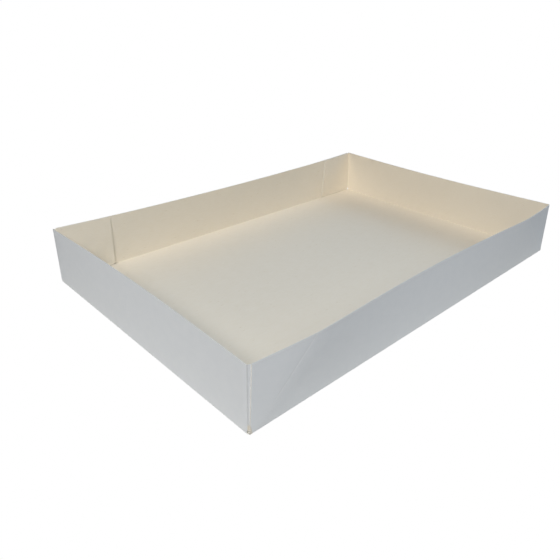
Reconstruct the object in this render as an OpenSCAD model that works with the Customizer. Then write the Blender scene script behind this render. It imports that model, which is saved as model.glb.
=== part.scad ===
// Shallow cake box tray, folded and glued from one sheet of white folding boxboard.
// The flat blank is a grid of small cells. blank_cell() says where the board is,
// and fold() says where each corner of a cell lies once the tray is put up.
// The origin is at the centre of the base, on the surface that the tray stands on.

/* [Tray] */
// Length outside, along the two long walls
tray_l = 375; // [260:5:480]
// Width outside, along the two short walls
tray_w = 250; // [180:5:340]
// Height of the walls
wall_h = 47.5; // [36:0.5:60]

/* [Board] */
// Thickness of the board
board_t = 0.6; // [0.4:0.05:0.8]
// Inside radius of the folds round the base
base_bend = 0.15; // [0.1:0.05:0.6]
// Inside radius of the upright folds at the corners
corner_bend = 0.2; // [0.1:0.05:1]

/* [Glue flaps] */
// Length of a flap along its bottom edge, from the corner of the tray
flap_l = 49.4; // [36:0.2:56]
// How much longer a flap is along its top edge
flap_flare = -0.8; // [-4:0.2:6]
// Top edge of a flap below the rim
flap_drop = 0.6; // [0.4:0.1:6]
// Slant cut across the two free corners of a flap
flap_corner = 1.6; // [0.6:0.1:5]
// Bottom edge of a flap above the fold of the base
flap_lift = 0.2; // [0.2:0.1:3]
// Length of the sloping shoulders beside the upright fold
flap_shoulder = 1.6; // [1:0.2:5]
// Thickness of the glue line between a flap and its wall
glue_line = 0.1; // [0.08:0.01:0.2]

/* [Creases and cut-outs] */
// The end of a long wall at its foot, clear of the fold of the short wall
wall_gap = 0.1; // [0.1:0.1:2]
// How much further back that end is at the rim
wall_taper = 3.2; // [0:0.1:5]
// Foot of the slanting crease, from the end of the wall
crease_foot = 3.6; // [1.6:0.1:6]
// Width of the pressed groove of the slanting crease
crease_w = 0.8; // [0.4:0.1:1.2]
// Depth of that groove
crease_d = 0.06; // [0.03:0.01:0.15]
// How far the bend at that crease spreads over the wall, as a share of its distance from the corner
crease_spread = 0.5; // [0.3:0.05:0.8]
// Height of the cut-out at the foot of each upright fold
relief_h = 3; // [2.5:0.5:8]
// Depth of that cut-out, across the end of the short wall
relief_w = 0.8; // [0.2:0.1:4]

/* [Spring of the walls] */
// How far the free end of each left flap springs off its wall, at the bottom
left_open = 1.2; // [0:0.1:4]
// How far the free end of each right flap springs off its wall, at the bottom
right_open = 0.3; // [0:0.1:4]
// Lean of the upright folds towards the back wall, at the rim
rack = 1.3; // [-3:0.1:3]
// Lean of the upright folds towards the middle of the length, at the rim
end_lean = 1.2; // [-2:0.1:3]
// How far the front wall swings out between its corners and its creases
front_kick = 3.5; // [-7:0.1:7]
// Bow of the front wall, inward at the middle of its rim
front_bow = 4.5; // [0:0.1:8]
// How far the back wall swings out between its corners and its creases
back_kick = -5.2; // [-7:0.1:7]
// Bow of the back wall, inward at the middle of its rim
back_bow = 3.6; // [0:0.1:8]
// Bow of the left wall, inward at the middle of its rim
left_bow = 2.9; // [0:0.1:8]
// Bow of the right wall, inward at the middle of its rim
right_bow = 5.4; // [0:0.1:8]

/* [Hidden] */

// Straight pieces that a fold of a quarter turn is made of
fold_steps = 4;
// Cells of the base, from its middle to where the long walls begin to bend
long_cells = 7;
// Cells of a long wall across the bend, on each side of a crease, and across its groove
bend_cells = 3;
groove_cells = 2;
// Cells of the base, from its middle to the long side
wide_cells = 5;
// Cells up a long wall, and up a short wall beside its cut-out and between the slants of its flaps
long_rise = 4;
relief_cells = 2;
flap_rise = 5;
// Cells of a flap where it is glued, as far as the crease, and where it is free
glued_cells = 6;
free_cells = 3;
// Plain wall between the bends at its creases and the even cells of its middle
bow_margin = 5;
// Least width of the glued and the free part of a flap
flap_margin = 1.5;

half_l = tray_l / 2;
half_w = tray_w / 2;
// Outside radius of the folds
fold_r = base_bend + board_t;
corner_r = corner_bend + board_t;
// End of a long wall at its foot, and foot of the slanting crease, from the corner of the tray
end_s = fold_r + wall_gap;
foot_s = end_s + crease_foot;
// Half length of the bowed stretch of a long wall, which begins at the top of the creases
arch_half = half_l - foot_s - wall_h;
// Half length of the even cells
even_half = half_l - (1 + crease_spread) * (foot_s + wall_h) - crease_w / 2 - bow_margin;
// Where the upright folds begin, in from the long side
fold_in = board_t + glue_line + corner_r;
// Bottom edge of a flap
flap_z = fold_r + flap_lift;

// Heights of the grid lines above the folds of the base
long_heights = [for (k = [1:long_rise]) mix(fold_r, wall_h, k / long_rise)];
short_heights = [
    for (k = [1:relief_cells]) mix(fold_r, relief_h, k / relief_cells),
    for (k = [0:flap_rise]) mix(relief_h + flap_corner, wall_h - flap_corner, k / flap_rise),
    wall_h
];

// Grid lines out from the middle: along the length, the bowed stretch comes first,
// then the crease and the end of the long wall, and then the short wall and its rim
crease_line = long_cells + 1 + bend_cells + groove_cells / 2;
end_line = crease_line + groove_cells / 2 + bend_cells + 1;
relief_line = end_line + 1 + fold_steps + relief_cells;
last_i = end_line + 1 + fold_steps + len(short_heights);
// Across the width, the base comes first, and then the long wall or the flap
side_line = wide_cells;
rim_line = side_line + 1 + fold_steps + long_rise;
flap_line = side_line + fold_steps + 1 + glued_cells + free_cells;
last_j = max(rim_line, flap_line);

function mix(a, b, f) = a + (b - a) * f;
function side(k) = k < 0 ? -1 : 1;
// Share of a bow, from none where it begins to all of it in the middle
function arch(from_middle, half) = sin(90 * max(0, 1 - abs(from_middle) / half));
function kick(sy) = sy < 0 ? front_kick : back_kick;
function bow(sy) = sy < 0 ? front_bow : back_bow;

// A grid line of the base and the long walls, from the middle, at a height z
function column(k, z) =
    let (
        m = abs(k - crease_line) - groove_cells / 2,
        crease = half_l - foot_s - z,
        end = half_l - end_s - wall_taper * z / wall_h
    )
    k <= long_cells ? even_half * k / long_cells
    : k == end_line ? end
    : m <= 0 ? crease + (k - crease_line) * crease_w / groove_cells
    : k < crease_line ? crease - crease_w / 2 - crease_spread * (foot_s + z) * m / bend_cells
    : mix(crease + crease_w / 2, end, crease_spread * m / bend_cells);

// Share of the swing of a wall, where t is 0 at the corner and 1 at the crease:
// it grows evenly, rounds off across the bend and is all there beyond it
function swing(t) =
    let (a = 1 - crease_spread, b = min(t, 1 + crease_spread))
    b - pow(max(0, b - a), 2) / (4 * crease_spread);

// Place of the upright folds along the length, at a height z
function fold_x(z) = half_l - end_lean * z / wall_h;

// Outward lean of a long wall: its corner turns about the upright fold as far as
// the slanting crease, and past the crease the wall turns about the fold of the base
function long_lean(x, z, sy) =
    let (t = (fold_x(z) - x) / (fold_x(z) - half_l + foot_s + z))
    (kick(sy) * swing(t) - bow(sy) * arch(x, arch_half)) * z / wall_h;

// Outward lean of a flap: past the crease it springs off the wall, the more the lower
function flap_lean(x, z, sx, sy) =
    long_lean(x, z, sy)
    - (sx < 0 ? left_open : right_open) * max(0, half_l - x - foot_s - z) / wall_h;

// Inward lean of a short wall, on the side sx of the middle
function short_lean(y, z, sx) =
    (end_lean + (sx < 0 ? left_bow : right_bow) * arch(y, half_w - fold_in)) * z / wall_h;

// Fold of the base and wall above it, as [place before the outside face, height],
// on grid line n, where 1 is the start of the fold
function rise(n, d, heights) =
    n <= 1 + fold_steps
        ? let (a = 90 * (n - 1) / fold_steps)
          [fold_r - (fold_r - d) * sin(a), fold_r - (fold_r - d) * cos(a)]
        : [d, heights[n - 2 - fold_steps]];

// The groove of the crease is pressed into the outside face
function groove(k, n, d) = d == 0 && k == crease_line && n > 1 + fold_steps ? crease_d : 0;

// Every point leans towards the back wall with its height
function racked(p) = [p[0], p[1] + rack * p[2] / wall_h, p[2]];

// Base and long walls, k lines from the middle, d deep into the board
function fold_long(k, j, d) =
    let (aj = abs(j), n = aj - side_line, sy = side(j))
    n <= 0
        ? [column(k, 0), sy * (half_w - fold_in) * aj / side_line, d]
        : let (
            p = rise(n, d, long_heights),
            x = column(k, rise(n, 0, long_heights)[1])
        )
        [x, sy * (half_w - p[0] - groove(k, n, d) + long_lean(x, p[1], sy)), p[1]];

// Short wall, n lines from the edge of the base, with a rounded notch at its lower corners
function fold_short(n, j, d, sx) =
    let (
        p = rise(n, d, short_heights),
        f = min(1, p[1] / relief_h),
        cut = abs(j) == side_line ? relief_w * sin(180 * f) : 0,
        y = (half_w - fold_in) * abs(j) / side_line - cut
    )
    [half_l - p[0] - short_lean(y, p[1], sx), side(j) * y, p[1]];

// Grid line m of a flap past its upright fold, from the corner: shoulder, crease, free end
function flap_reach(m, z, tip) =
    let (
        shoulder = corner_r + flap_shoulder,
        crease = fold_x(z) - half_l + foot_s + z,
        kink = max(shoulder + flap_margin, min(crease, tip - flap_margin)),
        g = m - 1 - glued_cells
    )
    g <= 0
        ? mix(shoulder, kink, (m - 1) / glued_cells)
        : mix(kink, tip, g / free_cells);

// Upright fold and glue flap, m lines from the short wall
function fold_flap(n, j, d, sx) =
    let (m = abs(j) - side_line, sy = side(j), z = short_heights[n - 2 - fold_steps])
    m <= fold_steps
        ? let (
              a = 90 * m / fold_steps,
              x = fold_x(z) - corner_r,
              lean = flap_lean(x, z, sx, sy) * (1 - cos(a))
          )
          [x + (corner_r - d) * cos(a), sy * (half_w - fold_in + (corner_r - d) * sin(a) + lean), z]
        : let (
            f = (z - relief_h) / (wall_h - relief_h),
            zf = mix(flap_z, wall_h - flap_drop, f),
            cut = f == 0 || f == 1 ? flap_corner : 0,
            s = flap_reach(m - fold_steps, zf, flap_l + flap_flare * f - cut),
            x = fold_x(zf) - s
        )
        [x, sy * (half_w - board_t - glue_line - d + flap_lean(x, zf, sx, sy)), zf];

// One half of the tray as folded, on the side sx of the middle
function fold_half(k, j, d, sx) =
    k <= end_line ? (abs(j) <= rim_line ? fold_long(k, j, d) : [0, 0, 0])
    : abs(j) <= side_line ? fold_short(k - end_line, j, d, sx)
    : k >= relief_line && abs(j) <= flap_line ? fold_flap(k - end_line, j, d, sx)
    : [0, 0, 0];

// A corner of the grid, d deep into the board
function fold(i, j, d) =
    let (p = racked(fold_half(abs(i), j, d, side(i))))
    [side(i) * p[0], p[1], p[2]];

// Whether the blank has board in the cell between lines i and i + 1, j and j + 1
function blank_cell(i, j) =
    let (k = max(abs(i), abs(i + 1)), m = max(abs(j), abs(j + 1)))
    k <= end_line ? m <= rim_line
    : k <= last_i && (m <= side_line || (k > relief_line && m <= flap_line));

lines_j = 2 * last_j + 1;
lines = (2 * last_i + 1) * lines_j;
// Number of a corner of the grid, on the outside face or, with in = 1, the inside face
function corner(i, j, in = 0) = in * lines + (i + last_i) * lines_j + j + last_j;

// A quarter of the faces are split the other way, so that the tray stays symmetrical
function quad(a, b, c, e, flip) = flip ? [[a, b, e], [b, c, e]] : [[a, b, c], [a, c, e]];

// Cut edge of the board between two corners of a cell
function cut_edge(i0, j0, i1, j1) =
    quad(corner(i1, j1), corner(i0, j0), corner(i0, j0, 1), corner(i1, j1, 1), false);

function cell_faces(i, j) =
    let (
        flip = (i < 0) != (j < 0),
        a = corner(i, j), b = corner(i + 1, j), c = corner(i + 1, j + 1), e = corner(i, j + 1),
        n = lines
    )
    concat(
        quad(a, b, c, e, flip),
        [for (t = quad(a, b, c, e, flip)) [t[2] + n, t[1] + n, t[0] + n]],
        blank_cell(i, j - 1) ? [] : cut_edge(i, j, i + 1, j),
        blank_cell(i + 1, j) ? [] : cut_edge(i + 1, j, i + 1, j + 1),
        blank_cell(i, j + 1) ? [] : cut_edge(i + 1, j + 1, i, j + 1),
        blank_cell(i - 1, j) ? [] : cut_edge(i, j + 1, i, j)
    );

// The whole tray: base, two long walls, two short walls and four glue flaps in one sheet
module tray() {
    color("whitesmoke")
        polyhedron(
            points = [
                for (d = [0, board_t])
                    for (i = [-last_i:last_i])
                        for (j = [-last_j:last_j]) fold(i, j, d)
            ],
            faces = [
                for (i = [-last_i:last_i - 1])
                    for (j = [-last_j:last_j - 1])
                        if (blank_cell(i, j)) each cell_faces(i, j)
            ],
            convexity = 8
        );
}

tray();
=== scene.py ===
"""Looks of a shallow cake box tray, folded from one sheet of white-faced, cream-backed board."""

import math

import bpy
from mathutils import Matrix, Vector


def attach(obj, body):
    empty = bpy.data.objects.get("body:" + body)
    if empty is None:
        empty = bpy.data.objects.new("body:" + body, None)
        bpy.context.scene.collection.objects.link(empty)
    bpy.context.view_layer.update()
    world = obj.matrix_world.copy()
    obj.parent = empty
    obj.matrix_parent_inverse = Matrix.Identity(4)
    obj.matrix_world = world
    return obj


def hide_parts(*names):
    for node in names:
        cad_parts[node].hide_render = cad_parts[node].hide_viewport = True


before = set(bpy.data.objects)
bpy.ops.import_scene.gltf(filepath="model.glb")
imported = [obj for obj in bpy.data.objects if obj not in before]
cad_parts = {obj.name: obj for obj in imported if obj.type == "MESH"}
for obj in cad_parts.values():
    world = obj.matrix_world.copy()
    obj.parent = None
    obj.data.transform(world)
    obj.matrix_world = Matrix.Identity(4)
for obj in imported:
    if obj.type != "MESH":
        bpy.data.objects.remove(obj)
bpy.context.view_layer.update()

MM = 0.001

# Sizes of the tray in millimetres, as its maker would state them. As on this one tray, the
# slanting creases are pressed in less deep than in the plain solid, and fade out towards
# their feet, and the cut-outs at the feet of the corners are narrower
TRAY_L, TRAY_W, WALL_H = 375.0, 250.0, 47.5
BOARD_T, GLUE_LINE = 0.6, 0.1
BASE_BEND, CORNER_BEND = 0.15, 0.2
WALL_GAP, WALL_TAPER = 0.1, 3.2
CREASE_FOOT, CREASE_W, CREASE_D, CREASE_SPREAD = 3.6, 0.8, 0.03, 0.5
CREASE_FAINT_H, CREASE_FADE = 10.0, 8.0
RELIEF_H, RELIEF_W, RELIEF_IN = 3.0, 0.4, 0.4
FLAP_L, FLAP_FLARE, FLAP_DROP, FLAP_LIFT = 49.4, -0.8, 0.6, 0.2
FLAP_SHOULDER, FLAP_CORNER, FLAP_KINK_IN = 1.6, 1.6, 1.5
BOW_MARGIN = 5.0

# Where the coating is crushed off at the foot of a corner, in millimetres: how high, how far
# along the long wall, and how far round the upright fold. Then how much of it is gone
WORN_H, WORN_W, WORN_ROUND = 7.5, 3.2, 1.2
WORN_FRONT, WORN_ELSEWHERE = 0.9, 0.35

# How the walls and flaps of this one tray lean, bow and spring, in millimetres
SPRING = {
    "Left flaps open": 1.2,
    "Right flaps open": 0.3,
    "Rack": 1.3,
    "End lean": 1.2,
    "Front kick": 3.5,
    "Front bow": 4.5,
    "Back kick": -5.2,
    "Back bow": 3.6,
    "Left bow": 2.9,
    "Right bow": 5.4,
}

HALF_L, HALF_W = TRAY_L / 2, TRAY_W / 2
FOLD_R, CORNER_R = BASE_BEND + BOARD_T, CORNER_BEND + BOARD_T
END_S = FOLD_R + WALL_GAP
FOOT_S = END_S + CREASE_FOOT
ARCH_HALF = HALF_L - FOOT_S - WALL_H
EVEN_HALF = HALF_L - (1 + CREASE_SPREAD) * (FOOT_S + WALL_H) - CREASE_W / 2 - BOW_MARGIN
FOLD_IN = BOARD_T + GLUE_LINE + CORNER_R
FINE_H = WORN_H + 2
SEAM, SHARP = 1e-7, math.radians(40)

# The photograph's view, fitted to the corners of the tray: focal length in pixels of a
# picture 560 pixels wide, place in metres, and turn, dip and roll in degrees
PICTURE_PX, FOCAL_PX, SENSOR_MM = 560, 539.216, 36.0
CAMERA_AT = (-0.331519, -0.301316, 0.220128)
CAMERA_TURN, CAMERA_DIP, CAMERA_ROLL = 46.633, 27.923, 0.731

# The floor in metres, and how brightly it glows beside the tray and away from it
FLOOR_HALF, FLOOR_Z = 40.0, -0.0002
GLOW_BAND, GLOW_NEAR, GLOW_FAR = 0.1, 0.212, 0.03
ROOM_DIM = 0.004

# Soft lights: place, point aimed at and size in metres, power in watts, colour. The key comes
# over the camera's left shoulder, the windows cool the base, and the two low fills light
# the outsides of the back and right walls
LIGHTS = {
    "key_softbox": ((-1.065, -0.692, 1.2), (0, 0, 0), (0.8, 0.5), 19.6, "#fefeff"),
    "front_softbox": ((-0.109, -1.245, 1.1), (0, 0, 0), (0.8, 0.5), 2.7, "#f4f8ff"),
    "low_softbox": ((-1.477, -0.26, 0.5), (0, 0, 0), (0.8, 0.5), 0.7, "#fff8f8"),
    "rear_window": ((0.9, 0.95, 0.75), (0, 0, 0), (1.2, 0.9), 4.3, "#b1d9ff"),
    "right_window": ((1.3, 0.0, 0.7), (0, 0, 0), (0.8, 0.8), 5.0, "#d5e9ff"),
    "right_front_window": ((1.2, -0.6, 0.9), (0, 0, 0), (0.8, 0.8), 1.7, "#c1dfff"),
    "rear_fill": ((0.5, 1.5, 0.1), (0, 0.1, 0.02), (0.8, 0.16), 1.5, "#ffffff"),
    "right_fill": ((1.6, 0.3, 0.1), (0.15, 0, 0.02), (0.8, 0.16), 1.0, "#ffffff"),
}


def add_node(tree, kind, links=None, **settings):
    """Adds a node, sets its settings, and gives its inputs a value or a link."""
    made = tree.nodes.new(kind)
    for name, value in settings.items():
        setattr(made, name, value)
    for key, value in (links or {}).items():
        socket = made.inputs[key]
        if isinstance(value, bpy.types.NodeSocket):
            tree.links.new(value, socket)
        else:
            socket.default_value = value
    return made


def linear(hex_colour):
    """An sRGB hex colour as linear red, green, blue and alpha."""
    parts = [int(hex_colour[k : k + 2], 16) / 255 for k in (1, 3, 5)]
    low = 0.04045
    return tuple(c / 12.92 if c <= low else ((c + 0.055) / 1.055) ** 2.4 for c in parts) + (1.0,)


def grain_of(mm):
    """The scale that makes a pattern repeat about every so many millimetres."""
    return 1 / (mm * MM)


# ---------------------------------------------------------------- materials


def new_material(name):
    """An empty node material, with its shader joined to the output."""
    material = bpy.data.materials.new(name)
    material.use_nodes = True
    tree = material.node_tree
    tree.nodes.clear()
    shader = add_node(tree, "ShaderNodeBsdfPrincipled")
    add_node(tree, "ShaderNodeOutputMaterial", {"Surface": shader.outputs[0]})
    return material, tree, shader


def clay_coated_face():
    """White clay coating, calendered: a smooth face with a low sheen and a faint mottle."""
    material, tree, shader = new_material("clay_coated_board_face")
    where = add_node(tree, "ShaderNodeTexCoord").outputs["Object"]
    # Mottle of the coating over the fibres
    mottle = add_node(
        tree,
        "ShaderNodeTexNoise",
        {"Vector": where, "Scale": grain_of(6.25), "Detail": 3.0, "Roughness": 0.6},
    )
    # Long unevenness of the sheet
    sheet = add_node(
        tree, "ShaderNodeTexNoise", {"Vector": where, "Scale": grain_of(40), "Detail": 2.0}
    )
    # Grain of the calendered surface: real grain is finer and would not show
    grain = add_node(
        tree, "ShaderNodeTexNoise", {"Vector": where, "Scale": grain_of(0.5), "Detail": 2.0}
    )
    white = add_node(
        tree,
        "ShaderNodeMix",
        {0: mottle.outputs["Fac"], "A": linear("#edf0f1"), "B": linear("#f4f6f6")},
        data_type="RGBA",
    )
    # Painted shade: the middle of each upright fold is drawn darker grey, as shade on the fold
    painted_fold_shade = add_node(tree, "ShaderNodeAttribute", attribute_name="painted_fold_shade").outputs["Fac"]
    fold_shaded = add_node(
        tree,
        "ShaderNodeMix",
        {0: painted_fold_shade, "A": white.outputs["Result"], "B": linear("#cbcdcd")},
        data_type="RGBA",
    )
    # The slanting creases are drawn a touch lighter where their grooves are pressed in, fading
    # towards their feet
    scored = add_node(tree, "ShaderNodeAttribute", attribute_name="scored").outputs["Fac"]
    folded = add_node(
        tree,
        "ShaderNodeMix",
        {0: scored, "A": fold_shaded.outputs["Result"], "B": linear("#fafaf8")},
        data_type="RGBA",
    )
    # The coating is crushed off the foot of the upright folds, and the cream core shows
    crushed = add_node(tree, "ShaderNodeAttribute", attribute_name="worn").outputs["Fac"]
    core = add_node(
        tree,
        "ShaderNodeMix",
        {0: mottle.outputs["Fac"], "A": linear("#d8cdb6"), "B": linear("#f0e9da")},
        data_type="RGBA",
    )
    faced = add_node(
        tree,
        "ShaderNodeMix",
        {0: crushed, "A": folded.outputs["Result"], "B": core.outputs["Result"]},
        data_type="RGBA",
    )
    rough = add_node(
        tree, "ShaderNodeMapRange", {"Value": mottle.outputs["Fac"], "To Min": 0.42, "To Max": 0.54}
    )
    fine = add_node(
        tree,
        "ShaderNodeBump",
        {"Height": grain.outputs["Fac"], "Strength": 0.04, "Distance": 0.0001},
    )
    broad = add_node(
        tree,
        "ShaderNodeBump",
        {
            "Height": sheet.outputs["Fac"],
            "Strength": 0.35,
            "Distance": 0.0006,
            "Normal": fine.outputs[0],
        },
    )
    tree.links.new(faced.outputs["Result"], shader.inputs["Base Color"])
    tree.links.new(rough.outputs[0], shader.inputs["Roughness"])
    tree.links.new(broad.outputs[0], shader.inputs["Normal"])
    shader.inputs["IOR"].default_value = 1.5
    shader.inputs["Specular IOR Level"].default_value = 0.4
    return material


def manila_back():
    """Uncoated cream back: matt and fibrous, with fine flecks of darker fibre."""
    material, tree, shader = new_material("manila_board_back")
    where = add_node(tree, "ShaderNodeTexCoord").outputs["Object"]
    # Fibres lie mostly along the machine direction, here the length of the tray
    laid = add_node(tree, "ShaderNodeMapping", {"Vector": where, "Scale": (0.25, 1.0, 1.0)})
    fibre = add_node(
        tree,
        "ShaderNodeTexNoise",
        {"Vector": laid.outputs[0], "Scale": grain_of(1.111), "Detail": 4.0, "Roughness": 0.7},
    )
    cloud = add_node(
        tree, "ShaderNodeTexNoise", {"Vector": where, "Scale": grain_of(8.333), "Detail": 3.0}
    )
    fleck = add_node(
        tree,
        "ShaderNodeTexVoronoi",
        {"Vector": laid.outputs[0], "Scale": grain_of(3.846), "Randomness": 1.0},
    )
    cream = add_node(
        tree,
        "ShaderNodeMix",
        {0: cloud.outputs["Fac"], "A": linear("#eadfc9"), "B": linear("#f0e6d3")},
        data_type="RGBA",
    )
    fibrous = add_node(
        tree,
        "ShaderNodeMix",
        {0: fibre.outputs["Fac"], "A": cream.outputs["Result"], "B": linear("#f3ebdc")},
        data_type="RGBA",
    )
    small = add_node(
        tree,
        "ShaderNodeMapRange",
        {
            "Value": fleck.outputs["Distance"],
            "From Min": 0.0,
            "From Max": 0.12,
            "To Min": 0.35,
            "To Max": 0.0,
        },
    )
    flecked = add_node(
        tree,
        "ShaderNodeMix",
        {0: small.outputs[0], "A": fibrous.outputs["Result"], "B": linear("#c9b48c")},
        data_type="RGBA",
    )
    bump = add_node(
        tree,
        "ShaderNodeBump",
        {"Height": fibre.outputs["Fac"], "Strength": 0.25, "Distance": 0.0001},
    )
    tree.links.new(flecked.outputs["Result"], shader.inputs["Base Color"])
    tree.links.new(bump.outputs[0], shader.inputs["Normal"])
    shader.inputs["Roughness"].default_value = 0.85
    shader.inputs["IOR"].default_value = 1.47
    shader.inputs["Specular IOR Level"].default_value = 0.5
    return material


def cut_edge():
    """Knife-cut edge of the board: the cream core, layered and slightly furry."""
    material, tree, shader = new_material("die_cut_board_edge")
    where = add_node(tree, "ShaderNodeTexCoord").outputs["Object"]
    fur = add_node(
        tree, "ShaderNodeTexNoise", {"Vector": where, "Scale": grain_of(0.4), "Detail": 3.0}
    )
    core = add_node(
        tree,
        "ShaderNodeMix",
        {0: fur.outputs["Fac"], "A": linear("#dfdbd1"), "B": linear("#eeebe3")},
        data_type="RGBA",
    )
    bump = add_node(
        tree, "ShaderNodeBump", {"Height": fur.outputs["Fac"], "Strength": 0.4, "Distance": 0.0001}
    )
    tree.links.new(core.outputs["Result"], shader.inputs["Base Color"])
    tree.links.new(bump.outputs[0], shader.inputs["Normal"])
    shader.inputs["Roughness"].default_value = 0.95
    shader.inputs["Specular IOR Level"].default_value = 0.2
    return material


# ---------------------------------------------------------------- the folded blank


def mix(a, b, f):
    return a + (b - a) * f


def steps(a, b, count):
    """Values from a, which is left out, to b in equal steps."""
    return [mix(a, b, k / count) for k in range(1, count + 1)]


ARC = 8
TURNS = [90 * k / ARC for k in range(1, ARC + 1)]
# Columns of the base and long walls, from the middle: first at even places, then across
# the bend beside the crease, then its groove, and last as far as the end of the wall.
# A groove column has its place in the groove's width and its share of the depth
EVEN = [0.0] + steps(0.0, EVEN_HALF, 20)
FAR, NEAR = 12, 12  # columns across the bend, and from the groove to the end of the wall
GROOVE = [(-0.5, 0.0), (-0.25, 0.6), (0.0, 1.0), (0.25, 0.6), (0.5, 0.0)]
END = len(EVEN) + FAR + len(GROOVE) + NEAR - 1

BASE_ROWS = [0.0] + steps(0.0, HALF_W - FOLD_IN, 24)
SIDE = len(BASE_ROWS) - 1
RELIEF_HEIGHTS = steps(FOLD_R, RELIEF_H, 4)
LONG_HEIGHTS = RELIEF_HEIGHTS + steps(RELIEF_H, FINE_H, 8) + steps(FINE_H, WALL_H, 10)
SHORT_HEIGHTS = (
    RELIEF_HEIGHTS
    + steps(RELIEF_H, RELIEF_H + FLAP_CORNER, 2)
    + steps(RELIEF_H + FLAP_CORNER, FINE_H, 6)
    + steps(FINE_H, WALL_H - FLAP_CORNER, 10)
    + steps(WALL_H - FLAP_CORNER, WALL_H, 2)
)
GLUED, FREE = 10, 8  # columns of a flap before and after its own crease
RIM = SIDE + 1 + ARC + len(LONG_HEIGHTS)
RELIEF = END + 1 + ARC + len(RELIEF_HEIGHTS)
LAST_I = END + 1 + ARC + len(SHORT_HEIGHTS)
FLAP_END = SIDE + ARC + 1 + GLUED + FREE


def column(k, z):
    """Place of a column of the base and long walls, and how deep it lies in the crease."""
    crease = HALF_L - FOOT_S - z
    if k < len(EVEN):
        return EVEN[k], 0.0
    k -= len(EVEN)
    if k < FAR:
        return crease - CREASE_W / 2 - CREASE_SPREAD * (FOOT_S + z) * (FAR - k) / FAR, 0.0
    k -= FAR
    if k < len(GROOVE):
        return crease + GROOVE[k][0] * CREASE_W, GROOVE[k][1]
    k -= len(GROOVE) - 1
    tongue = RELIEF_IN * math.sin(math.pi * min(1.0, z / RELIEF_H))
    end = HALF_L - END_S - WALL_TAPER * z / WALL_H + tongue
    return mix(crease + CREASE_W / 2, end, k / NEAR), 0.0


def rise(n, heights):
    """A line of a fold of the base or of the wall above it: its distance in and its height."""
    if n <= 1:
        return FOLD_R, 0.0
    if n <= 1 + ARC:
        turn = math.radians(TURNS[n - 2])
        return FOLD_R * (1 - math.sin(turn)), FOLD_R * (1 - math.cos(turn))
    return 0.0, heights[n - 2 - ARC]


def fold_long(k, j):
    """A point of the base or of a long wall, how deeply scored it is, and its share of the lean."""
    m, sy = abs(j), -1 if j < 0 else 1
    if m <= SIDE:
        return (column(k, 0.0)[0], sy * BASE_ROWS[m], 0.0), 0.0, 0.0
    inward, z = rise(m - SIDE, LONG_HEIGHTS)
    x, groove = column(k, z)
    groove *= min(1.0, max(0.0, (z - CREASE_FAINT_H) / CREASE_FADE))
    return (x, sy * (HALF_W - inward - groove * CREASE_D), z), groove, 1.0


def fold_short(n, j):
    """A point of a short wall, whose lower corners are cut away."""
    m, sy = abs(j), -1 if j < 0 else 1
    inward, z = rise(n, SHORT_HEIGHTS)
    y = BASE_ROWS[m]
    if m == SIDE:
        y -= RELIEF_W * math.sin(math.pi * min(1.0, z / RELIEF_H))
    return (HALF_L - inward, sy * y, z), 0.0, 0.0


def fold_flap(n, j):
    """A point of an upright corner fold or of a glue flap."""
    m, sy = abs(j) - SIDE, -1 if j < 0 else 1
    z = SHORT_HEIGHTS[n - 2 - ARC]
    if m <= ARC:
        turn = math.radians(TURNS[m - 1])
        x = HALF_L - CORNER_R * (1 - math.cos(turn))
        return (x, sy * (HALF_W - FOLD_IN + CORNER_R * math.sin(turn)), z), 0.0, 1 - math.cos(turn)
    f = (z - RELIEF_H) / (WALL_H - RELIEF_H)
    z = mix(FOLD_R + FLAP_LIFT, WALL_H - FLAP_DROP, f)
    near = min(z - FOLD_R - FLAP_LIFT, WALL_H - FLAP_DROP - z)
    cut = FLAP_CORNER * max(0.0, 1 - near / FLAP_CORNER)
    tip = FLAP_L + FLAP_FLARE * f - cut
    shoulder = CORNER_R + FLAP_SHOULDER
    crease = FOOT_S + z * (1 - SPRING["End lean"] / WALL_H)
    kink = max(shoulder + FLAP_KINK_IN, min(crease, tip - FLAP_KINK_IN))
    g = m - ARC - 1 - GLUED
    s = mix(shoulder, kink, (m - ARC - 1) / GLUED) if g <= 0 else mix(kink, tip, g / FREE)
    return (HALF_L - s, sy * (HALF_W - BOARD_T - GLUE_LINE), z), 0.0, 1.0


def has_board(i, j):
    """Whether the cut blank has board between lines i and i + 1, j and j + 1."""
    k, m = max(abs(i), abs(i + 1)), max(abs(j), abs(j + 1))
    if k <= END:
        return m <= RIM
    return k <= LAST_I and (m <= SIDE or (k > RELIEF and m <= FLAP_END))


def wear(i, point):
    """How far the coating is crushed off near the foot of a corner: most at the front one.
    The patch narrows to half its width at its top, and its rim is soft."""
    from_corner, z = HALF_L - point[0], point[2]
    if z > WORN_H or abs(point[1]) < HALF_W - WORN_ROUND:
        return 0.0
    across = 1 - from_corner / (WORN_W * (1 - 0.5 * z / WORN_H))
    most = WORN_FRONT if i < 0 and point[1] < 0 else WORN_ELSEWHERE
    return most * max(0.0, min(1.0, 3 * across)) * min(1.0, 0.7 * (WORN_H - z))


def fold_shade_share(i, j):
    """How much painted shade darkens the coating: most at the middle of an upright fold."""
    m = abs(j) - SIDE
    return math.sin(2 * math.radians(TURNS[m - 1])) if abs(i) > END and 0 < m < ARC else 0.0


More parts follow.
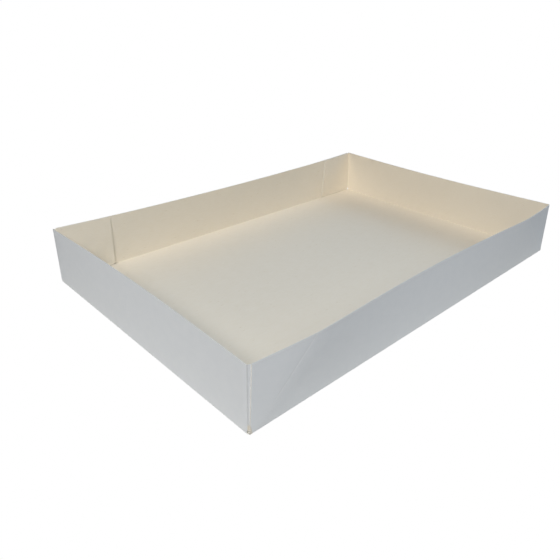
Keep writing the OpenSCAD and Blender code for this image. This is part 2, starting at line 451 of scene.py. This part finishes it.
def folded_blank():
    """The outside face of the blank, folded up square, as a mesh with its panels marked."""
    places, numbers, faces = [], {}, []
    amounts = {"scored": [], "painted_fold_shade": [], "worn": [], "swung": []}
    panels = {"end_panel": [], "glue_flap": []}
    last_j = max(RIM, FLAP_END)

    def corner(i, j):
        if (i, j) not in numbers:
            k = abs(i)
            if k <= END:
                point, score, share = fold_long(k, j)
            elif abs(j) <= SIDE:
                point, score, share = fold_short(k - END, j)
            else:
                point, score, share = fold_flap(k - END, j)
            numbers[i, j] = len(places)
            places.append((math.copysign(1, i) * point[0] * MM, point[1] * MM, point[2] * MM))
            amounts["scored"].append(score)
            # Share of painted shade on the upright folds
            amounts["painted_fold_shade"].append(fold_shade_share(i, j))
            amounts["worn"].append(wear(i, point))
            amounts["swung"].append(share)
            panels["end_panel"].append(k > END)
            panels["glue_flap"].append(k > END and abs(j) > SIDE)
        return numbers[i, j]

    for i in range(-LAST_I, LAST_I):
        for j in range(-last_j, last_j):
            if has_board(i, j):
                ring = ((i, j), (i, j + 1), (i + 1, j + 1), (i + 1, j))
                faces.append([corner(*at) for at in ring])
    mesh = bpy.data.meshes.new("folded_blank")
    mesh.from_pydata(places, [], faces)
    for marks, kind in ((amounts, "FLOAT"), (panels, "BOOLEAN")):
        for name, values in marks.items():
            mesh.attributes.new(name, kind, "POINT").data.foreach_set("value", values)
    return mesh


# ---------------------------------------------------------------- the spring of the walls


def spring_tree(coat, back, edge):
    """Leans and bows the squared walls, then gives the sheet its thickness and faces."""
    tree = bpy.data.node_groups.new("sprung_board", "GeometryNodeTree")
    face = tree.interface
    face.new_socket("Geometry", in_out="OUTPUT", socket_type="NodeSocketGeometry")
    face.new_socket("Geometry", in_out="INPUT", socket_type="NodeSocketGeometry")
    sizes = {
        "Half length": HALF_L,
        "Bow half width": HALF_W - FOLD_IN,
        "Wall height": WALL_H,
        "Crease foot": FOOT_S,
        "Bow half length": ARCH_HALF,
        "Board thickness": BOARD_T,
        **SPRING,
    }
    for name, value in sizes.items():
        socket = face.new_socket(name, in_out="INPUT", socket_type="NodeSocketFloat")
        socket.default_value = value * MM
    spread = face.new_socket("Crease spread", in_out="INPUT", socket_type="NodeSocketFloat")
    spread.default_value = CREASE_SPREAD
    given = add_node(tree, "NodeGroupInput").outputs
    is_end = add_node(
        tree, "GeometryNodeInputNamedAttribute", {"Name": "end_panel"}, data_type="BOOLEAN"
    ).outputs[0]
    is_flap = add_node(
        tree, "GeometryNodeInputNamedAttribute", {"Name": "glue_flap"}, data_type="BOOLEAN"
    ).outputs[0]
    swung = add_node(
        tree, "GeometryNodeInputNamedAttribute", {"Name": "swung"}, data_type="FLOAT"
    ).outputs[0]
    place = add_node(tree, "GeometryNodeInputPosition").outputs[0]
    part = add_node(tree, "ShaderNodeSeparateXYZ", {0: place}).outputs
    lift = add_node(
        tree, "ShaderNodeMath", {0: part[2], 1: given["Wall height"]}, operation="DIVIDE"
    ).outputs[0]
    at_left = add_node(
        tree, "ShaderNodeMath", {0: part[0], 1: 0.0}, operation="LESS_THAN"
    ).outputs[0]
    at_back = add_node(
        tree, "ShaderNodeMath", {0: part[1], 1: 0.0}, operation="GREATER_THAN"
    ).outputs[0]

    # Short walls, corner folds and flaps lean in along the length, and the short walls bow
    from_side = add_node(tree, "ShaderNodeMath", {0: part[1]}, operation="ABSOLUTE").outputs[0]
    share = add_node(
        tree, "ShaderNodeMath", {0: from_side, 1: given["Bow half width"]}, operation="DIVIDE"
    ).outputs[0]
    middle = add_node(
        tree, "ShaderNodeMath", {0: 1.0, 1: share}, operation="SUBTRACT", use_clamp=True
    ).outputs[0]
    angle = add_node(
        tree, "ShaderNodeMath", {0: middle, 1: math.pi / 2}, operation="MULTIPLY"
    ).outputs[0]
    arch = add_node(tree, "ShaderNodeMath", {0: angle}, operation="SINE").outputs[0]
    end_bow = add_node(
        tree,
        "ShaderNodeMix",
        {0: at_left, 2: given["Right bow"], 3: given["Left bow"]},
        data_type="FLOAT",
    ).outputs[0]
    inward = add_node(
        tree,
        "ShaderNodeMath",
        {0: end_bow, 1: arch, 2: given["End lean"]},
        operation="MULTIPLY_ADD",
    ).outputs[0]
    at_height = add_node(
        tree, "ShaderNodeMath", {0: inward, 1: lift}, operation="MULTIPLY"
    ).outputs[0]
    towards = add_node(tree, "ShaderNodeMath", {0: part[0]}, operation="SIGN").outputs[0]
    signed = add_node(
        tree, "ShaderNodeMath", {0: at_height, 1: towards}, operation="MULTIPLY"
    ).outputs[0]
    moved_x = add_node(
        tree, "ShaderNodeMath", {0: signed, 1: -1.0}, operation="MULTIPLY"
    ).outputs[0]
    offset_x = add_node(tree, "ShaderNodeCombineXYZ", {0: moved_x}).outputs[0]
    leaned = add_node(
        tree,
        "GeometryNodeSetPosition",
        {"Geometry": given["Geometry"], "Selection": is_end, "Offset": offset_x},
    ).outputs[0]

    # A long wall turns about the upright fold, then rounds over at the slanting crease and
    # turns about the fold of the base: t is 0 at the upright fold and 1 at the crease
    along = add_node(tree, "ShaderNodeMath", {0: part[0]}, operation="ABSOLUTE").outputs[0]
    fold_lean = add_node(
        tree, "ShaderNodeMath", {0: given["End lean"], 1: lift}, operation="MULTIPLY"
    ).outputs[0]
    fold_x = add_node(
        tree, "ShaderNodeMath", {0: given["Half length"], 1: fold_lean}, operation="SUBTRACT"
    ).outputs[0]
    from_fold = add_node(
        tree, "ShaderNodeMath", {0: fold_x, 1: along}, operation="SUBTRACT"
    ).outputs[0]
    crease_s = add_node(
        tree, "ShaderNodeMath", {0: given["Crease foot"], 1: part[2]}, operation="ADD"
    ).outputs[0]
    crease_at = add_node(
        tree, "ShaderNodeMath", {0: crease_s, 1: fold_lean}, operation="SUBTRACT"
    ).outputs[0]
    t = add_node(
        tree, "ShaderNodeMath", {0: from_fold, 1: crease_at}, operation="DIVIDE"
    ).outputs[0]
    over = add_node(
        tree, "ShaderNodeMath", {0: given["Crease spread"], 1: 1.0}, operation="ADD"
    ).outputs[0]
    turned = add_node(tree, "ShaderNodeMath", {0: t, 1: over}, operation="MINIMUM").outputs[0]
    under = add_node(
        tree, "ShaderNodeMath", {0: 1.0, 1: given["Crease spread"]}, operation="SUBTRACT"
    ).outputs[0]
    past = add_node(tree, "ShaderNodeMath", {0: turned, 1: under}, operation="SUBTRACT").outputs[0]
    past_only = add_node(tree, "ShaderNodeMath", {0: past, 1: 0.0}, operation="MAXIMUM").outputs[0]
    squared = add_node(tree, "ShaderNodeMath", {0: past_only, 1: 2.0}, operation="POWER").outputs[0]
    width = add_node(
        tree, "ShaderNodeMath", {0: given["Crease spread"], 1: 4.0}, operation="MULTIPLY"
    ).outputs[0]
    rounded = add_node(
        tree, "ShaderNodeMath", {0: squared, 1: width}, operation="DIVIDE"
    ).outputs[0]
    swing = add_node(
        tree, "ShaderNodeMath", {0: turned, 1: rounded}, operation="SUBTRACT"
    ).outputs[0]
    kick = add_node(
        tree,
        "ShaderNodeMix",
        {0: at_back, 2: given["Front kick"], 3: given["Back kick"]},
        data_type="FLOAT",
    ).outputs[0]
    kicked = add_node(tree, "ShaderNodeMath", {0: kick, 1: swing}, operation="MULTIPLY").outputs[0]
    bow = add_node(
        tree,
        "ShaderNodeMix",
        {0: at_back, 2: given["Front bow"], 3: given["Back bow"]},
        data_type="FLOAT",
    ).outputs[0]
    share_x = add_node(
        tree, "ShaderNodeMath", {0: along, 1: given["Bow half length"]}, operation="DIVIDE"
    ).outputs[0]
    middle_x = add_node(
        tree, "ShaderNodeMath", {0: 1.0, 1: share_x}, operation="SUBTRACT", use_clamp=True
    ).outputs[0]
    angle_x = add_node(
        tree, "ShaderNodeMath", {0: middle_x, 1: math.pi / 2}, operation="MULTIPLY"
    ).outputs[0]
    arch_x = add_node(tree, "ShaderNodeMath", {0: angle_x}, operation="SINE").outputs[0]
    bowed = add_node(tree, "ShaderNodeMath", {0: arch_x, 1: bow}, operation="MULTIPLY").outputs[0]
    at_rim = add_node(
        tree, "ShaderNodeMath", {0: kicked, 1: bowed}, operation="SUBTRACT"
    ).outputs[0]
    wall_out = add_node(
        tree, "ShaderNodeMath", {0: at_rim, 1: lift}, operation="MULTIPLY"
    ).outputs[0]

    # Past the crease a flap springs off the wall, the more the lower
    opened = add_node(
        tree,
        "ShaderNodeMix",
        {0: at_left, 2: given["Right flaps open"], 3: given["Left flaps open"]},
        data_type="FLOAT",
    ).outputs[0]
    from_end = add_node(
        tree, "ShaderNodeMath", {0: given["Half length"], 1: along}, operation="SUBTRACT"
    ).outputs[0]
    past_crease = add_node(
        tree, "ShaderNodeMath", {0: from_end, 1: crease_s}, operation="SUBTRACT"
    ).outputs[0]
    free = add_node(
        tree, "ShaderNodeMath", {0: past_crease, 1: 0.0}, operation="MAXIMUM"
    ).outputs[0]
    free_share = add_node(
        tree, "ShaderNodeMath", {0: free, 1: given["Wall height"]}, operation="DIVIDE"
    ).outputs[0]
    sprung = add_node(
        tree, "ShaderNodeMath", {0: free_share, 1: opened}, operation="MULTIPLY"
    ).outputs[0]
    flap_out = add_node(
        tree, "ShaderNodeMath", {0: wall_out, 1: sprung}, operation="SUBTRACT"
    ).outputs[0]
    out = add_node(
        tree, "GeometryNodeSwitch", {0: is_flap, 1: wall_out, 2: flap_out}, input_type="FLOAT"
    ).outputs[0]
    swung_out = add_node(
        tree, "ShaderNodeMath", {0: out, 1: swung}, operation="MULTIPLY"
    ).outputs[0]
    outward = add_node(tree, "ShaderNodeMath", {0: part[1]}, operation="SIGN").outputs[0]
    out_y = add_node(
        tree, "ShaderNodeMath", {0: swung_out, 1: outward}, operation="MULTIPLY"
    ).outputs[0]
    racked = add_node(
        tree, "ShaderNodeMath", {0: given["Rack"], 1: lift, 2: out_y}, operation="MULTIPLY_ADD"
    ).outputs[0]
    offset_y = add_node(tree, "ShaderNodeCombineXYZ", {1: racked}).outputs[0]
    sprung_sheet = add_node(
        tree, "GeometryNodeSetPosition", {"Geometry": leaned, "Offset": offset_y}
    ).outputs[0]

    # The sheet is thickened inwards, so that the cream back lines the tray
    inside = add_node(
        tree, "ShaderNodeMath", {0: given["Board thickness"], 1: -1.0}, operation="MULTIPLY"
    ).outputs[0]
    thick = add_node(
        tree,
        "GeometryNodeExtrudeMesh",
        {"Mesh": sprung_sheet, "Offset Scale": inside, "Individual": False},
    ).outputs
    flipped = add_node(tree, "GeometryNodeFlipFaces", {0: thick["Mesh"]}).outputs[0]
    both = add_node(tree, "GeometryNodeJoinGeometry")
    tree.links.new(flipped, both.inputs[0])
    tree.links.new(sprung_sheet, both.inputs[0])
    sewn = add_node(
        tree, "GeometryNodeMergeByDistance", {"Geometry": both.outputs[0], "Distance": SEAM}
    ).outputs[0]
    # The knife cuts the rim level
    made = add_node(tree, "GeometryNodeInputPosition").outputs[0]
    made_part = add_node(tree, "ShaderNodeSeparateXYZ", {0: made}).outputs
    level = add_node(
        tree, "ShaderNodeMath", {0: made_part[2], 1: given["Wall height"]}, operation="MINIMUM"
    ).outputs[0]
    trimmed_at = add_node(
        tree, "ShaderNodeCombineXYZ", {0: made_part[0], 1: made_part[1], 2: level}
    ).outputs[0]
    trimmed = add_node(
        tree, "GeometryNodeSetPosition", {"Geometry": sewn, "Position": trimmed_at}
    ).outputs[0]
    real = add_node(tree, "GeometryNodeRealizeInstances", {0: trimmed}).outputs[0]
    coated = add_node(
        tree, "GeometryNodeSetMaterial", {"Geometry": real, "Material": coat}
    ).outputs[0]
    lined = add_node(
        tree,
        "GeometryNodeSetMaterial",
        {"Geometry": coated, "Selection": thick["Top"], "Material": back},
    ).outputs[0]
    edged = add_node(
        tree,
        "GeometryNodeSetMaterial",
        {"Geometry": lined, "Selection": thick["Side"], "Material": edge},
    ).outputs[0]
    add_node(tree, "NodeGroupOutput", {0: edged})
    return tree


def make_tray():
    """The folded tray as one plain mesh."""
    holder = bpy.data.objects.new("folded_tray_source", folded_blank())
    bpy.context.scene.collection.objects.link(holder)
    tree = spring_tree(clay_coated_face(), manila_back(), cut_edge())
    modifier = holder.modifiers.new("spring", "NODES")
    modifier.node_group = tree
    for item in tree.interface.items_tree:
        if item.in_out == "INPUT" and item.socket_type == "NodeSocketFloat":
            modifier[item.identifier] = item.default_value
    bpy.context.view_layer.update()
    evaluated = holder.evaluated_get(bpy.context.evaluated_depsgraph_get())
    mesh = bpy.data.meshes.new_from_object(evaluated)
    mesh.name = "folded_tray"
    holder.modifiers.remove(modifier)
    bpy.data.objects.remove(holder)
    mesh.polygons.foreach_set("use_smooth", [True] * len(mesh.polygons))
    mesh.set_sharp_from_angle(angle=SHARP)
    piece = bpy.data.objects.new("folded_tray", mesh)
    bpy.context.scene.collection.objects.link(piece)
    return piece


tray = make_tray()
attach(tray, "root")
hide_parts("tray")

# ---------------------------------------------------------------- floor, light and camera


def seen_white(tree, seen, lit):
    """Shows the camera one shader, and lights the tray with the other."""
    ray = add_node(tree, "ShaderNodeLightPath").outputs["Is Camera Ray"]
    return add_node(tree, "ShaderNodeMixShader", {0: ray, 1: lit, 2: seen}).outputs[0]


def make_floor():
    """A plain white floor. The tray stood on a duller table and was cut out on pure white,
    as the weak light at the foot of its walls shows, so the floor lights it only weakly."""
    mesh = bpy.data.meshes.new("floor")
    s, z = FLOOR_HALF, FLOOR_Z
    mesh.from_pydata([(-s, -s, z), (s, -s, z), (s, s, z), (-s, s, z)], [], [(0, 1, 2, 3)])
    material, tree, shader = new_material("matt_white_table")
    shader.inputs["Base Color"].default_value = linear("#959595")
    shader.inputs["Roughness"].default_value = 0.9
    shader.inputs["Specular IOR Level"].default_value = 0.1
    # A band of it round the tray glows, and lifts the foot of its walls
    where = add_node(tree, "ShaderNodeTexCoord").outputs["Object"]
    past = add_node(tree, "ShaderNodeVectorMath", {0: where}, operation="ABSOLUTE").outputs[0]
    out = add_node(
        tree,
        "ShaderNodeVectorMath",
        {0: past, 1: (HALF_L * MM, HALF_W * MM, 1.0)},
        operation="SUBTRACT",
    ).outputs[0]
    outside = add_node(
        tree, "ShaderNodeVectorMath", {0: out, 1: (0.0, 0.0, 0.0)}, operation="MAXIMUM"
    ).outputs[0]
    away = add_node(tree, "ShaderNodeVectorMath", {0: outside}, operation="LENGTH").outputs["Value"]
    glow = add_node(
        tree,
        "ShaderNodeMapRange",
        {
            "Value": away,
            "From Min": 0.0,
            "From Max": GLOW_BAND,
            "To Min": GLOW_NEAR,
            "To Max": GLOW_FAR,
        },
        interpolation_type="SMOOTHSTEP",
    ).outputs[0]
    tree.links.new(glow, shader.inputs["Emission Strength"])
    shader.inputs["Emission Color"].default_value = linear("#fffff8")
    white = add_node(tree, "ShaderNodeEmission", {"Color": linear("#ffffff"), "Strength": 1.0})
    output = next(n for n in tree.nodes if n.bl_idname == "ShaderNodeOutputMaterial")
    tree.links.new(seen_white(tree, white.outputs[0], shader.outputs[0]), output.inputs["Surface"])
    mesh.materials.append(material)
    floor = bpy.data.objects.new("floor", mesh)
    bpy.context.scene.collection.objects.link(floor)


def make_light(name, at, aim, size, power, colour):
    """A soft square light that looks at a point."""
    lamp = bpy.data.lights.new(name, "AREA")
    lamp.shape = "RECTANGLE"
    lamp.size, lamp.size_y = size
    lamp.energy = power
    lamp.color = linear(colour)[:3]
    light = bpy.data.objects.new(name, lamp)
    light.location = at
    light.rotation_euler = (Vector(aim) - Vector(at)).to_track_quat("-Z", "Y").to_euler()
    bpy.context.scene.collection.objects.link(light)


def make_world():
    """A room that the camera sees as plain white, and that hardly lights the tray."""
    world = bpy.data.worlds.new("white_room")
    bpy.context.scene.world = world
    world.use_nodes = True
    tree = world.node_tree
    tree.nodes.clear()
    white = add_node(tree, "ShaderNodeBackground", {"Color": linear("#ffffff"), "Strength": 1.0})
    dim = add_node(tree, "ShaderNodeBackground", {"Color": linear("#ffffff"), "Strength": ROOM_DIM})
    seen = seen_white(tree, white.outputs[0], dim.outputs[0])
    add_node(tree, "ShaderNodeOutputWorld", {"Surface": seen})


def make_camera():
    """The photograph's view, from above the near left corner."""
    yaw, pitch, roll = (math.radians(a) for a in (CAMERA_TURN, CAMERA_DIP, CAMERA_ROLL))
    forward = Vector((math.cos(yaw), math.sin(yaw), 0.0))
    ahead = math.cos(pitch) * forward - Vector((0.0, 0.0, math.sin(pitch)))
    level = Vector((math.sin(yaw), -math.cos(yaw), 0.0))
    above = level.cross(ahead)
    right = math.cos(roll) * level + math.sin(roll) * above
    up = -math.sin(roll) * level + math.cos(roll) * above
    lens = bpy.data.cameras.new("camera")
    lens.sensor_width = SENSOR_MM
    lens.lens = FOCAL_PX / PICTURE_PX * SENSOR_MM
    lens.clip_start, lens.clip_end = 0.01, 200.0
    camera = bpy.data.objects.new("camera", lens)
    turn = Matrix((right, up, -ahead)).transposed().to_4x4()
    camera.matrix_world = Matrix.Translation(CAMERA_AT) @ turn
    bpy.context.scene.collection.objects.link(camera)
    bpy.context.scene.camera = camera


make_floor()
make_world()
for name, placed in LIGHTS.items():
    make_light(name, *placed)
make_camera()
bpy.context.scene.view_settings.view_transform = "Standard"
bpy.context.scene.view_settings.look = "None"
